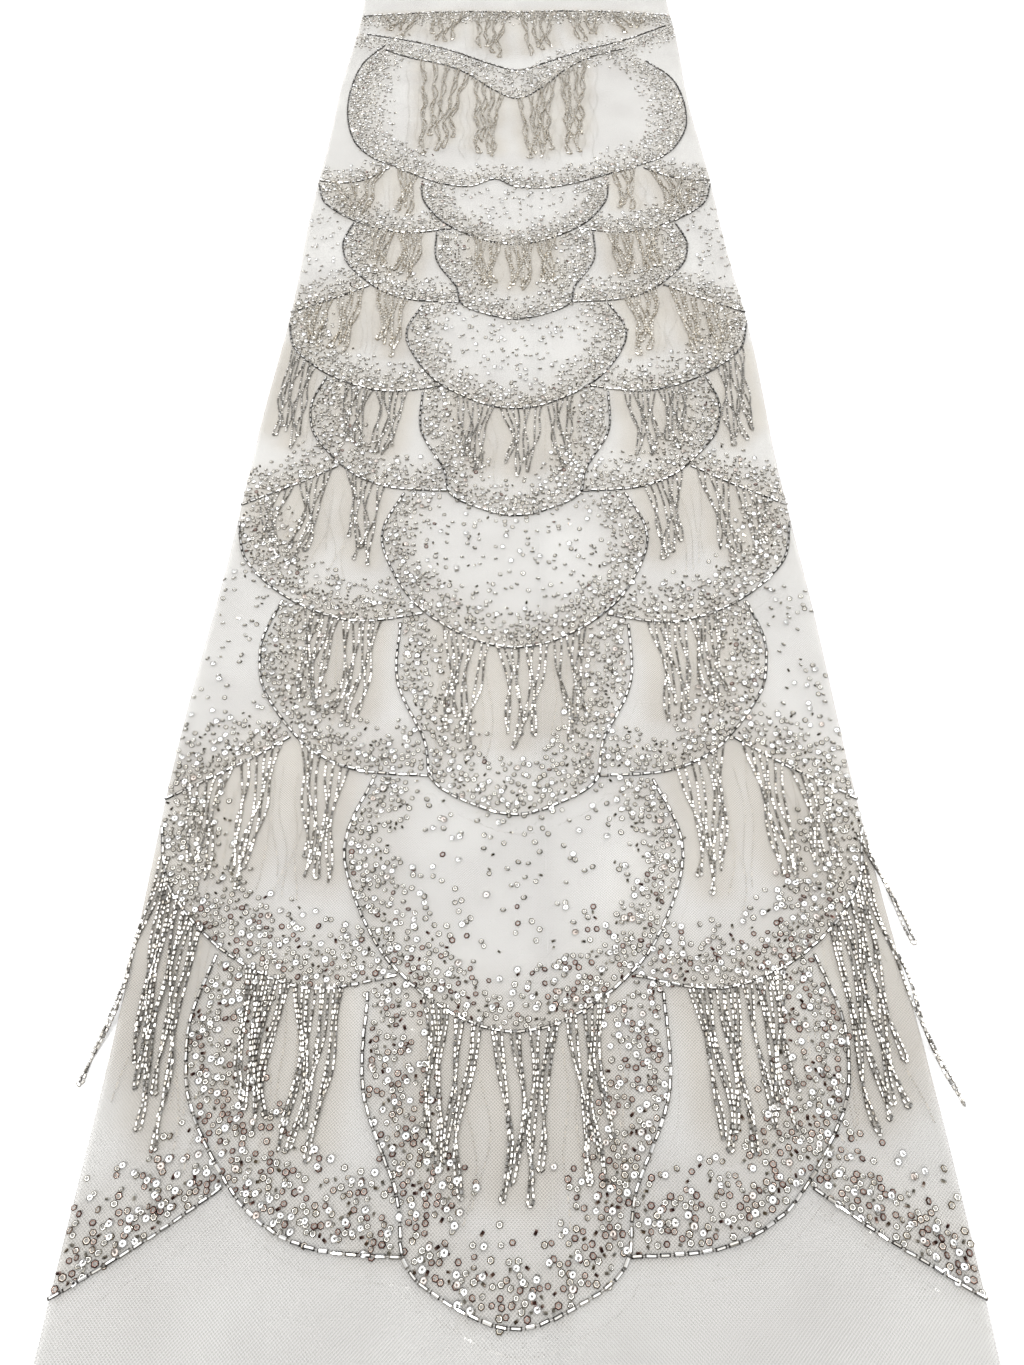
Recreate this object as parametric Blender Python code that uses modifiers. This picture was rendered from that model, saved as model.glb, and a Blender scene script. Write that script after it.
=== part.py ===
"""A length of beaded lace net, folded lengthwise and lying flat.

The net is one cloth whose two long sides are turned under, so that the
selvedges meet below. Beaded lines edge its scallops, and bead fringes hang
from most of them. X runs across the cloth, Y along it, and Z is up.
"""
import math

import bmesh
import bpy

# Driving sizes of the folded length, in metres
LENGTH = 2.41
HALF_WIDTH = 0.315
SHEET = 0.0018
LAYER_GAP = 0.0014
LEFT_SELVEDGE = 0.022
RIGHT_SELVEDGE = 0.032
RIPPLE = 0.0022
EDGE_WANDER = 0.0045

# Waves of the ripples: share, turn across and along in radians a metre, phase
RIPPLE_WAVES = [(0.28, 9.0, 5.2, 0.0), (0.22, -4.0, 13.0, 0.8)]
# Waves of the folds' unevenness: share, turn along, phase to each side
WANDER_WAVES = [(0.6, 5.1, 1.3), (0.4, 12.7, 2.1)]

# Grid of the cloth, in cells
CELLS_FOLD = 3
CELLS_TOP = 13
CELLS_LONG = 32
FLAP_MARGIN = 0.03

# Beaded lines and strands
CLEARANCE = 0.0004
LINE_WIDTH, LINE_HEIGHT = 0.0028, 0.0024
STRAND_WIDTH, STRAND_HEIGHT = 0.0040, 0.0018
STRAND_LIFT = 0.00025
LINE_STEP = 0.034
CURVE_STEPS = 16
STRAND_CELLS = 4
STRAY_CELLS = 8
CLUMP = 3.7
GATHER, GATHERED_BY = 0.45, 0.8
STRANDS_APART = 0.0062
SWAY = 0.005
SWAY_TURN, SWAY_SHIFT = 3.4, 76
LENGTH_UNEVEN = 0.10
FLOOR_REST = 0.0003
DROP_START, DROP_END = 0.0032, 0.0125

# The repeat: scallops stand on a foot point, one pitch apart along Y
PITCH = 0.393
FIRST_FOOT = -0.97
REPEATS = 4

# Lines of one repeat as (across, along from the foot), for the right side.
# A whole line starts at the middle and goes on to the left, mirrored. A half
# line is made once for each side.
WHOLE_LINES = {
    "shield": [(0.000, 0.000), (0.050, 0.015), (0.105, 0.060), (0.140, 0.125), (0.148, 0.175),
               (0.130, 0.230)],
    "tongue": [(0.000, -0.197), (0.040, -0.185), (0.075, -0.160), (0.085, -0.115), (0.115, -0.045),
               (0.118, 0.028)],
}
HALF_LINES = {
    "upper_wing": [(0.100, 0.045), (0.155, 0.035), (0.200, 0.045), (0.250, 0.075), (0.295, 0.125),
                   (0.311, 0.180)],
    "lower_wing": [(0.246, 0.060), (0.256, 0.015), (0.254, -0.020), (0.243, -0.057), (0.210, -0.105),
                   (0.180, -0.133), (0.140, -0.150), (0.083, -0.155)],
    "edge_sweep": [(0.214, -0.114), (0.250, -0.140), (0.285, -0.162), (0.311, -0.178)],
}

# Lines of the far motif as (across, along)
FAR_LINES = {
    "lobe_left": [(-0.255, 0.940), (-0.285, 0.860), (-0.295, 0.740), (-0.290, 0.630), (-0.270, 0.540),
                  (-0.235, 0.482), (-0.198, 0.455)],
    "lobe_right": [(0.250, 0.870), (0.290, 0.800), (0.305, 0.710), (0.300, 0.610), (0.275, 0.535),
                   (0.243, 0.488), (0.204, 0.460)],
    "waist": [(-0.190, 0.446), (-0.150, 0.415), (-0.110, 0.392), (-0.070, 0.386), (-0.032, 0.410),
              (0.000, 0.386), (0.050, 0.382), (0.100, 0.400), (0.150, 0.428), (0.194, 0.450)],
    "sweep_left": [(-0.207, 0.444), (-0.235, 0.412), (-0.270, 0.398), (-0.308, 0.404)],
    "sweep_right": [(0.214, 0.448), (0.245, 0.424), (0.280, 0.412), (0.310, 0.410)],
    "vee_low": [(-0.245, 0.920), (-0.200, 0.888), (-0.135, 0.858), (-0.085, 0.815), (-0.040, 0.750),
                (0.005, 0.712), (0.050, 0.760), (0.100, 0.845), (0.150, 0.898), (0.205, 0.930)],
    "vee_high": [(-0.290, 0.998), (-0.200, 0.965), (-0.120, 0.920), (-0.050, 0.865), (0.005, 0.835),
                 (0.060, 0.870), (0.130, 0.925), (0.210, 0.970), (0.295, 1.040)],
    "far_line": [(-0.306, 1.095), (-0.200, 1.113), (-0.100, 1.120), (0.000, 1.117), (0.100, 1.120),
                 (0.200, 1.114), (0.306, 1.098)],
}

# Fringes: line, repeats that have it, first and last share of the line,
# strands, length of the first and of the last strand
FRINGES = [
    ("shield", (0, 1, 2, 3), 0.375, 0.625, 11, 0.118, 0.118),
    ("upper_wing", (0, 1, 2, 3), 0.150, 0.420, 8, 0.120, 0.108),
    ("upper_wing", (0, 2), 0.640, 0.820, 5, 0.160, 0.170),
    ("lower_wing", (1, 2, 3), 0.620, 0.770, 4, 0.125, 0.125),
    ("edge_sweep", (1, 2, 3), 0.080, 0.800, 6, 0.145, 0.085),
]
FAR_FRINGES = [
    ("waist", 0.010, 0.090, 3, 0.120, 0.120),
    ("waist", 0.915, 0.990, 3, 0.120, 0.120),
    ("sweep_left", 0.120, 0.800, 4, 0.125, 0.075),
    ("sweep_right", 0.120, 0.800, 4, 0.125, 0.080),
    ("vee_low", 0.130, 0.470, 9, 0.350, 0.225),
    ("vee_low", 0.530, 0.860, 9, 0.225, 0.340),
    ("far_line", 0.060, 0.480, 12, 0.070, 0.210),
    ("far_line", 0.520, 0.930, 12, 0.210, 0.055),
]

# Stray strands that slip over a fold to the surface: line, side, share of the
# line at the root, length, drift outwards
STRAYS = [
    ("upper_wing", 0, -1, 0.900, 0.190, 0.027),
    ("upper_wing", 0, 1, 0.880, 0.200, 0.029),
    ("upper_wing", 0, 1, 0.985, 0.100, 0.024),
]

LOWER_MID = SHEET / 2
UPPER_MID = LOWER_MID + SHEET + LAYER_GAP


def uneven(number):
    """An even spread of values between -1 and 1, the same each run."""
    return math.sin(number * 2.399 + 0.7 * math.sin(number * 1.17))


def ripple(x, y):
    """Height of the soft ripples of the upper layer."""
    waves = sum(share * math.sin(across * x + along * y + phase)
                for share, across, along, phase in RIPPLE_WAVES)
    return RIPPLE * (0.5 + waves)


def fold_at(side, y):
    """Distance of the fold from the middle, on the left (-1) or right (1)."""
    wander = sum(share * math.sin(along * y + phase * side) for share, along, phase in WANDER_WAVES)
    return HALF_WIDTH + EDGE_WANDER * wander


def top_height(x, y):
    """Height of the upper layer's outer face."""
    return UPPER_MID + SHEET / 2 + ripple(x, y)


def on_cloth(x, y):
    """A point of the chart, drawn in or out with the uneven fold."""
    side = 1 if x > 0 else -1
    return x * fold_at(side, y) / HALF_WIDTH, y


def smooth(anchors, step):
    """Points about a step apart on a smooth curve through the anchors."""
    ends = [anchors[0], *anchors, anchors[-1]]
    fine = []
    for before, start, end, after in zip(ends, ends[1:], ends[2:], ends[3:]):
        for i in range(CURVE_STEPS):
            t = i / CURVE_STEPS
            fine.append(tuple(
                0.5 * (2 * q + (r - p) * t + (2 * p - 5 * q + 4 * r - s) * t * t
                       + (3 * q - p - 3 * r + s) * t ** 3)
                for p, q, r, s in zip(before, start, end, after)))
    fine.append(tuple(anchors[-1]))
    length = sum(math.dist(p, q) for p, q in zip(fine, fine[1:]))
    count = max(2, round(length / step))
    return [at_share(fine, i / count) for i in range(count + 1)]


def at_share(points, share):
    """The point of a polyline at a share of its length."""
    steps = [math.dist(p, q) for p, q in zip(points, points[1:])]
    wanted = share * sum(steps)
    for p, q, step in zip(points, points[1:], steps):
        if wanted <= step:
            return tuple(u + (v - u) * wanted / step for u, v in zip(p, q))
        wanted -= step
    return tuple(points[-1])


def strand_height(x, y):
    """Height of a strand's underside: on the net, or down on the surface past the fold."""
    on_net = top_height(x, y) + CLEARANCE + STRAND_LIFT
    past = abs(x) - fold_at(1 if x > 0 else -1, y)
    drop = min(1.0, max(0.0, (past - DROP_START) / (DROP_END - DROP_START)))
    return on_net + (FLOOR_REST - on_net) * drop


def strand(root, centre, length, cells, gather=0.0, sway=0.0, drift=0.0):
    """A strand from its root towards the near end, drawn to its clump's centre."""
    points = []
    for i in range(cells + 1):
        t = i / cells
        sideways = sway * math.sin(SWAY_TURN * t + SWAY_SHIFT * centre) * t
        pull = gather * math.sin(math.pi / 2 * min(1.0, t / GATHERED_BY))
        x = root[0] + (centre - root[0]) * pull + drift * t ** 1.5 + sideways
        x, y = on_cloth(x, root[1] - length * t)
        points.append((x, y, strand_height(x, y)))
    return points


def fringe(anchors, first, last, count, length_first, length_last, seed):
    """The strands of one fringe along a share of a line."""
    line = smooth(anchors, LINE_STEP)
    roots = [at_share(line, first + (last - first) * i / (count - 1)) for i in range(count)]
    spacing = min(abs(p[0] - q[0]) for p, q in zip(roots, roots[1:]))
    gather = max(0.0, min(GATHER, 1 - STRANDS_APART / spacing))
    clumps = max(1, round(count / CLUMP))
    paths = []
    for i, root in enumerate(roots):
        mates = [x for j, (x, y) in enumerate(roots) if j * clumps // count == i * clumps // count]
        centre = sum(mates) / len(mates)
        length = length_first + (length_last - length_first) * i / (count - 1)
        length *= 1 + LENGTH_UNEVEN * uneven(seed + i)
        paths.append(strand(root, centre, length, STRAND_CELLS, gather, SWAY))
    return paths


def new_collection(name):
    made = bpy.data.collections.new(name)
    bpy.context.scene.collection.children.link(made)
    return made


def material(name, colour, roughness, metallic):
    made = bpy.data.materials.new(name)
    made.use_nodes = True
    shader = made.node_tree.nodes["Principled BSDF"]
    shader.inputs["Base Color"].default_value = colour
    shader.inputs["Roughness"].default_value = roughness
    shader.inputs["Metallic"].default_value = metallic
    return made


def section(name, width, height):
    """A three-sided bead section with its flat side down, as a curve's bevel."""
    data = bpy.data.curves.new(name, "CURVE")
    data.dimensions = "2D"
    spline = data.splines.new("POLY")
    spline.points.add(2)
    spline.use_cyclic_u = True
    for point, place in zip(spline.points, ((-width / 2, 0), (width / 2, 0), (0, height))):
        point.co = (*place, 0, 1)
    made = bpy.data.objects.new(name, data)
    made.hide_render = True
    made.display_type = "WIRE"
    GUIDES.objects.link(made)
    return made


def tubes(name, paths, profile, finish):
    """A mesh of one closed tube along each path."""
    data = bpy.data.curves.new(name, "CURVE")
    data.dimensions = "3D"
    data.twist_mode = "Z_UP"
    data.bevel_mode = "OBJECT"
    data.bevel_object = profile
    data.use_fill_caps = True
    for path in paths:
        spline = data.splines.new("POLY")
        spline.points.add(len(path) - 1)
        for point, place in zip(spline.points, path):
            point.co = (*place, 1)
    curve = bpy.data.objects.new(name, data)
    bpy.context.scene.collection.objects.link(curve)
    bpy.context.view_layer.update()
    mesh = bpy.data.meshes.new_from_object(curve.evaluated_get(bpy.context.evaluated_depsgraph_get()))
    place = curve.matrix_world.copy()
    bpy.data.objects.remove(curve)
    weld_and_turn_out(mesh)
    mesh.materials.clear()
    mesh.materials.append(finish)
    made = bpy.data.objects.new(name, mesh)
    made.matrix_world = place
    return made


def weld_and_turn_out(mesh):
    """Joins the caps to their tube and makes every face point outwards."""
    work = bmesh.new()
    work.from_mesh(mesh)
    bmesh.ops.remove_doubles(work, verts=work.verts, dist=0.00001)
    bmesh.ops.recalc_face_normals(work, faces=work.faces)
    work.to_mesh(mesh)
    work.free()


def beaded_line(name, anchors, strands):
    """A beaded line on the upper layer, with its strands' roots fused into it."""
    path = []
    for x, y in smooth(anchors, LINE_STEP):
        x, y = on_cloth(x, y)
        path.append((x, y, top_height(x, y) + CLEARANCE))
    line = tubes(name, [path], LINE_SECTION, SILVER_BEADS)
    PARTS.objects.link(line)
    if strands:
        hung = tubes(name + "_strands", strands, STRAND_SECTION, STRAND_BEADS)
        hung.hide_render = True
        hung.display_type = "WIRE"
        GUIDES.objects.link(hung)
        join = line.modifiers.new("Fused roots", "BOOLEAN")
        join.operation = "UNION"
        join.solver = "EXACT"
        join.object = hung


def mirrored(anchors):
    return [(-x, y) for x, y in anchors]


def moved(anchors, foot):
    return [(x, y + foot) for x, y in anchors]


def repeat_strands(line, repeat, side, anchors):
    """Every strand that hangs from one line of a repeat."""
    paths = []
    for row, (name, repeats, *rest) in enumerate(FRINGES):
        if name == line and repeat in repeats:
            paths += fringe(anchors, *rest, seed=37 * row + 11 * repeat + 5 * side)
    for name, where, which, share, length, drift in STRAYS:
        if (name, where, which) == (line, repeat, side):
            root = at_share(smooth(anchors, LINE_STEP), share)
            paths.append(strand(root, root[0], length, STRAY_CELLS, drift=side * drift))
    return paths


def repeats():
    """The scallops, one pitch after another."""
    for repeat in range(REPEATS):
        foot = FIRST_FOOT + PITCH * repeat
        last = repeat == REPEATS - 1
        for line, chart in WHOLE_LINES.items():
            half = chart[:-1] if last and line == "shield" else chart
            anchors = moved(mirrored(half[:0:-1]) + half, foot)
            beaded_line(f"{line}_{repeat}", anchors, repeat_strands(line, repeat, 0, anchors))
        for line, chart in HALF_LINES.items():
            for side, word in ((-1, "left"), (1, "right")):
                anchors = moved(mirrored(chart) if side < 0 else chart, foot)
                beaded_line(f"{line}_{word}_{repeat}", anchors, repeat_strands(line, repeat, side, anchors))


def far_motif():
    """The two lobes, the vee between them and the straight far line."""
    for order, (line, anchors) in enumerate(FAR_LINES.items()):
        paths = []
        for row, (name, *rest) in enumerate(FAR_FRINGES):
            if name == line:
                paths += fringe(anchors, *rest, seed=53 * row + 7 * order)
        beaded_line(line, anchors, paths)


def net_section(y):
    """The folded section at one place along the cloth, from selvedge to selvedge."""
    radius = (UPPER_MID - LOWER_MID) / 2
    left = -(fold_at(-1, y) - radius - SHEET / 2)
    right = fold_at(1, y) - radius - SHEET / 2
    points = [(LEFT_SELVEDGE, LOWER_MID), (left + FLAP_MARGIN, LOWER_MID), (left, LOWER_MID)]
    points += fold(left, y, radius, -1)
    for i in range(CELLS_TOP + 1):
        x = left + (right - left) * i / CELLS_TOP
        points.append((x, UPPER_MID + ripple(x, y)))
    points += reversed(fold(right, y, radius, 1))
    points += [(right, LOWER_MID), (right - FLAP_MARGIN, LOWER_MID), (RIGHT_SELVEDGE, LOWER_MID)]
    return points


def fold(x, y, radius, side):
    """The inner points of one fold, from the lower layer up."""
    top = UPPER_MID + ripple(x, y)
    points = []
    for i in range(1, CELLS_FOLD):
        turn = math.pi * i / CELLS_FOLD
        z = LOWER_MID + (top - LOWER_MID) * (1 - math.cos(turn)) / 2
        points.append((x + side * radius * math.sin(turn), z))
    return points


def net_ground():
    """The net itself: one grid laid along the folded section, then given its thickness."""
    columns = len(net_section(0.0))
    work = bmesh.new()
    bmesh.ops.create_grid(work, x_segments=columns - 1, y_segments=CELLS_LONG, size=0.5)
    for vert in work.verts:
        column = round((vert.co.x + 0.5) * (columns - 1))
        y = vert.co.y * LENGTH
        x, z = net_section(y)[column]
        vert.co = (x, y, z)
    mesh = bpy.data.meshes.new("net_ground")
    work.to_mesh(mesh)
    work.free()
    mesh.materials.append(NET)
    net = bpy.data.objects.new("net_ground", mesh)
    PARTS.objects.link(net)
    thick = net.modifiers.new("Thickness", "SOLIDIFY")
    thick.thickness = SHEET
    thick.offset = 0
    thick.use_even_offset = True


for old in list(bpy.data.objects):
    bpy.data.objects.remove(old)

PARTS = new_collection("beaded_lace_fabric")
GUIDES = new_collection("guides")
LINE_SECTION = section("line_section", LINE_WIDTH, LINE_HEIGHT)
STRAND_SECTION = section("strand_section", STRAND_WIDTH, STRAND_HEIGHT)
NET = material("cream_net", (0.80, 0.78, 0.74, 1.0), 0.85, 0.0)
SILVER_BEADS = material("silver_tube_beads", (0.66, 0.63, 0.57, 1.0), 0.22, 0.9)
STRAND_BEADS = material("champagne_strand_beads", (0.58, 0.53, 0.45, 1.0), 0.28, 0.7)

net_ground()
repeats()
far_motif()
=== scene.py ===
import math

import bmesh
import bpy
import numpy as np
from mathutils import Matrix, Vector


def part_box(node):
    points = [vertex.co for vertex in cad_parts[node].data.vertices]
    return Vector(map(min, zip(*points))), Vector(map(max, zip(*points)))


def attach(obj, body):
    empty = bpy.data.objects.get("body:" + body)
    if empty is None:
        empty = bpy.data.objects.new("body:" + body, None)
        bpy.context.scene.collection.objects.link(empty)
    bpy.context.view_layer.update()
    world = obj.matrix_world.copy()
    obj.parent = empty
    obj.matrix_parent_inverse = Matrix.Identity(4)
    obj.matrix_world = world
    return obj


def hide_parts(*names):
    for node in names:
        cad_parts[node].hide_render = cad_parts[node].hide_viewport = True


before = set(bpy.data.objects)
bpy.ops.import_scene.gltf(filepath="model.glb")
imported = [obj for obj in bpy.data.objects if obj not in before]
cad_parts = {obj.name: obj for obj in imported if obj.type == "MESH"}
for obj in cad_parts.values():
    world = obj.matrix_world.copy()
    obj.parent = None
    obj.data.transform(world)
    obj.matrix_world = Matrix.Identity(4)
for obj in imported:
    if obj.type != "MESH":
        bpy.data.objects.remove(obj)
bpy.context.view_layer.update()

# The folded cloth, in metres, as its solids have it
NET_LOW, NET_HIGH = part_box("net_ground")
LENGTH = NET_HIGH[1] - NET_LOW[1]
HALF_WIDTH = 0.315
SHEET = 0.0018
LAYER_GAP = 0.0014
SELVEDGES_MEET, SELVEDGE_GAP = 0.027, 0.0001
RIPPLE = 0.0022
EDGE_WANDER = 0.0045
RIPPLE_WAVES = [(0.28, 9.0, 5.2, 0.0), (0.22, -4.0, 13.0, 0.8)]
WANDER_WAVES = [(0.6, 5.1, 1.3), (0.4, 12.7, 2.1)]
LOWER_TOP = SHEET
UPPER_BASE = SHEET + LAYER_GAP + SHEET

# Net: its mesh from thread to hole, and how opaque it is on a thread, in a
# hole, and where beads are sewn on it
NET_THICKNESS = 0.0003
NET_CELL = 0.0085
FOLD_CELLS = 8
MESH_PITCH = 0.0018
THREAD_TO_HOLE, NET_OPACITY, WORKED_OPACITY = (0.10, 0.45), (0.52, 0.14), 0.08
# How strongly the beaded bands tint the net: partly thread and bead colour, partly painted shadow
BEADED_SHADE_TINT = 0.6

# Beads, in metres
TUBE_RADIUS, TUBE_LENGTH, TUBE_PITCH = 0.00140, 0.0082, 0.0097
TUBE_SIDES, TUBE_SEAT, TUBE_STEP, THREAD_STEP = 7, 0.0001, 0.005, 0.008
STRING_RADIUS, STRING_LENGTH, STRING_PITCH = 0.00108, 0.0036, 0.0043
FAR_STRING_RADIUS = 0.00125
RING_RADIUS, RING_WIRE, RING_FLATNESS, RING_WIRE_SIDES = 0.00190, 0.00080, 0.75, 3
BEAD_LIFT, SEQUIN_LIFT = 0.0010, 0.0020
SEQUIN_RADIUS, SEQUIN_HOLE, SEQUIN_THICKNESS = 0.0031, 0.0006, 0.0003
SHORT_RADIUS, SHORT_LENGTH = 0.00105, 0.0034
BEAD_SPACING, BEADS_PER_M2 = 0.0042, 66000
SEQUIN_SPACING, SEQUINS_PER_M2 = 0.0060, 9000
LOWER_SPACING, LOWER_PER_M2 = 0.0045, 32000
SHORT_SHARE, SHORT_SIDES = 0.18, 4
SEWN_SEED, SEQUIN_SEED, LOWER_SEED = 1, 21, 40
THREAD_RADIUS, THREAD_SIDES = 0.00025, 3

# How far beads are turned and tilted, and how they vary in size
FULL_TURN = 6.28
RING_TILT, SHORT_TILT, SEQUIN_TILT, TUBE_TILT = 0.38, 0.22, 0.30, 0.07
RING_SIZES, SEQUIN_SIZES = (0.84, 1.12), (0.80, 1.06)
TUBE_SIZES = ((0.90, 0.90, 0.88), (1.08, 1.08, 1.10))

# The layer below: heights, sizes, and how far it is moved from the layer above
LOWER_MIDDLE, BETWEEN_LAYERS = 0.0009, 0.0031
LOWER_SCALE, LOWER_SHORT_SHARE = 0.8, 0.9
LOWER_RING_SIDES, LOWER_SIDES, LOWER_STRETCH = 4, 3, 2
LOWER_TUBE_RADIUS, LOWER_STRING_RADIUS = 0.0008, 0.0009
LOWER_SHIFT = (0.006, 0.016)
LOWER_STEP, LOWER_MARGIN = 0.01, 0.003
STRAND_SHIFT, OUTER_STRANDS = 0.026, 0.25

# Strand beads of the four repeats and the far motif
STRING_RADII = (STRING_RADIUS,) * 3 + (FAR_STRING_RADIUS,) * 2
STRING_STRETCH = (1.0, 1.0, 1.0, 1.5, 1.5)
STRING_SIDES = (5, 4, 4, 4, 4)
NO_MIDDLE_STRING = (1, 2)

# Strips of sewn beads: their ends along the cloth, and the sides of their
# rings and sequins
STRIP_ENDS = [NET_LOW[1], -0.79, -0.40, -0.01, 0.38, 0.78, 1.13]
RING_SIDES = (6, 6, 5, 5, 4, 4)
SEQUIN_SIDES = (8, 8, 6, 6, 6, 6)

# Places along the cloth, and the share of something at each
SEQUINS_ALONG = ([NET_LOW[1], -0.98, -0.80], [1.0, 1.0, 0.8])
LOWER_BEADS_ALONG = ([0.0, 0.5], [1.0, 0.5])
# The strength of the net's tint of thread colour and painted shadow along the cloth
NET_SHADE_TINT_ALONG = ([-0.9, 0.0, 1.0], [0.8, 0.9, 0.8])
BRONZE_PLACES, BRONZE_TONES = (-1.06, -0.82), (0.36, 0.99)
HEM_PLACES = (-1.10, -0.85)

# Strands
STRAND_LIFT = 0.0011
STRAND_CELLS = 30
ROOT_HALF, LOOP_HALF, FAR_LOOP_HALF = 0.0036, 0.0019, 0.0034
CLUMP = 3.7
GATHER, GATHERED_BY = 0.45, 0.8
STRANDS_APART = 0.0062
SWAY = 0.005
SWAY_TURN, SWAY_SHIFT = 3.4, 76
CURL, FAR_CURL = 0.0024, 0.0034
CURL_WAVE, TWIST_WAVE = 62.0, 55.0
CURL_START, TWIST_START = 2.1, 1.7
CURL_POWER, DRIFT_POWER = 0.5, 1.5
MIDDLE_SHARE = 0.9
LENGTH_UNEVEN = 0.10
UNEVEN_TURN, UNEVEN_SWING, UNEVEN_WAVE = 2.399, 0.7, 1.17
DROP_START, DROP_END = 0.0032, 0.0125
LINE_STEP = 0.034
CURVE_STEPS = 16
# In string radii: how far strings part where they cross, and how high they lie
CROSSING, STRING_RISE, MIDDLE_RISE = 0.6, 0.3, 1.5

# The chart of the lines, as the solids have them
PITCH = 0.393
FIRST_FOOT = -0.97
REPEATS = 4
WHOLE_LINES = {
    "shield": [(0.000, 0.000), (0.050, 0.015), (0.105, 0.060), (0.140, 0.125), (0.148, 0.175),
               (0.130, 0.230)],
    "tongue": [(0.000, -0.197), (0.040, -0.185), (0.075, -0.160), (0.085, -0.115), (0.115, -0.045),
               (0.118, 0.028)],
}
HALF_LINES = {
    "upper_wing": [(0.100, 0.045), (0.155, 0.035), (0.200, 0.045), (0.250, 0.075), (0.295, 0.125),
                   (0.311, 0.180)],
    "lower_wing": [(0.246, 0.060), (0.256, 0.015), (0.254, -0.020), (0.243, -0.057), (0.210, -0.105),
                   (0.180, -0.133), (0.140, -0.150), (0.083, -0.155)],
    "edge_sweep": [(0.214, -0.114), (0.250, -0.140), (0.285, -0.162), (0.311, -0.178)],
}
FAR_LINES = {
    "lobe_left": [(-0.255, 0.940), (-0.285, 0.860), (-0.295, 0.740), (-0.290, 0.630), (-0.270, 0.540),
                  (-0.235, 0.482), (-0.198, 0.455)],
    "lobe_right": [(0.250, 0.870), (0.290, 0.800), (0.305, 0.710), (0.300, 0.610), (0.275, 0.535),
                   (0.243, 0.488), (0.204, 0.460)],
    "waist": [(-0.190, 0.446), (-0.150, 0.415), (-0.110, 0.392), (-0.070, 0.386), (-0.032, 0.410),
              (0.000, 0.386), (0.050, 0.382), (0.100, 0.400), (0.150, 0.428), (0.194, 0.450)],
    "sweep_left": [(-0.207, 0.444), (-0.235, 0.412), (-0.270, 0.398), (-0.308, 0.404)],
    "sweep_right": [(0.214, 0.448), (0.245, 0.424), (0.280, 0.412), (0.310, 0.410)],
    "vee_low": [(-0.245, 0.920), (-0.200, 0.888), (-0.135, 0.858), (-0.085, 0.815), (-0.040, 0.750),
                (0.005, 0.712), (0.050, 0.760), (0.100, 0.845), (0.150, 0.898), (0.205, 0.930)],
    "vee_high": [(-0.290, 0.998), (-0.200, 0.965), (-0.120, 0.920), (-0.050, 0.865), (0.005, 0.835),
                 (0.060, 0.870), (0.130, 0.925), (0.210, 0.970), (0.295, 1.040)],
    "far_line": [(-0.306, 1.095), (-0.200, 1.113), (-0.100, 1.120), (0.000, 1.117), (0.100, 1.120),
                 (0.200, 1.114), (0.306, 1.098)],
}
# Line, repeats that have it, first and last share, strands, first and last length
FRINGES = [
    ("shield", (0, 1, 2, 3), 0.375, 0.625, 11, 0.118, 0.118),
    ("upper_wing", (0, 1, 2, 3), 0.150, 0.420, 8, 0.120, 0.108),
    ("upper_wing", (0, 2), 0.640, 0.820, 5, 0.160, 0.170),
    ("lower_wing", (1, 2, 3), 0.620, 0.770, 4, 0.125, 0.125),
    ("edge_sweep", (1, 2, 3), 0.080, 0.800, 6, 0.145, 0.085),
]
FAR_FRINGES = [
    ("waist", 0.010, 0.090, 3, 0.120, 0.120),
    ("waist", 0.915, 0.990, 3, 0.120, 0.120),
    ("sweep_left", 0.120, 0.800, 4, 0.125, 0.075),
    ("sweep_right", 0.120, 0.800, 4, 0.125, 0.080),
    ("vee_low", 0.130, 0.470, 9, 0.350, 0.225),
    ("vee_low", 0.530, 0.860, 9, 0.225, 0.340),
    ("far_line", 0.060, 0.480, 12, 0.070, 0.210),
    ("far_line", 0.520, 0.930, 12, 0.210, 0.055),
]
# Line, repeat, side, share at the root, length, drift outwards
STRAYS = [
    ("upper_wing", 0, -1, 0.900, 0.190, 0.027),
    ("upper_wing", 0, 1, 0.880, 0.200, 0.029),
    ("upper_wing", 0, 1, 0.985, 0.100, 0.024),
]
# Beads beside a line: band width in metres, density from 0 to 1, and the side
# of the line that they lie on, 1 for its left as it is drawn
BANDS = {
    "shield": (0.043, 1.0, 1),
    "tongue": (0.046, 1.0, 1),
    "upper_wing": (0.053, 1.0, 1),
    "lower_wing": (0.050, 1.0, -1),
    "edge_sweep": (0.050, 1.0, 1),
    "lobe_left": (0.062, 0.9, 1),
    "lobe_right": (0.062, 0.9, -1),
    "waist": (0.046, 0.9, 1),
    "sweep_left": (0.045, 0.9, -1),
    "sweep_right": (0.045, 0.9, 1),
    "vee_low": (0.050, 0.75, 1),
    "vee_high": (0.056, 0.75, -1),
    "far_line": (0.055, 1.0, -1),
}
# In band widths: how far from a line beads are looked for, and where they end
BAND_REACH, BAND_END, BAND_POWER = 1.6, 1.3, 0.8
# Sparse fields at the edges: their repeats, their distance from the middle,
# and how far they reach below and above the repeat's foot
EDGE_FIELD_REPEATS, EDGE_FIELD_FROM, EDGE_FIELD_DENSITY = (1, 3), 0.262, 0.15
EDGE_FIELD_BELOW, EDGE_FIELD_ABOVE = 0.15, 0.12
# The cells of the fields, the shields, and the strip kept clear along a line
FIELD_CELL, FIELD_HALF_WIDTH = 0.006, 0.3125
SHIELD_CENTRE_DENSITY, OUTLINE_STEP = 0.15, 0.01
LINE_CLEAR = 0.0028
# How far the painted shadow of the fringes reaches over the net
FRINGE_SHADE, SHADE_REACH = 0.019, 1.6

# Camera, from the photo's perspective: height over the cloth, tilt below the
# horizon, focal length and vanishing point in pixels of the 1024 x 1365 frame
FRAME_WIDTH, FRAME_HEIGHT = 1024, 1365
FOCAL_PIXELS = 1025.0
VANISHING_X = 515.0
CAMERA_HEIGHT = 0.80
CAMERA_TILT = 51.82
CAMERA_FOOT = -1.25
SENSOR = 36.0
FLOOR_HALF = 9.0


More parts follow.
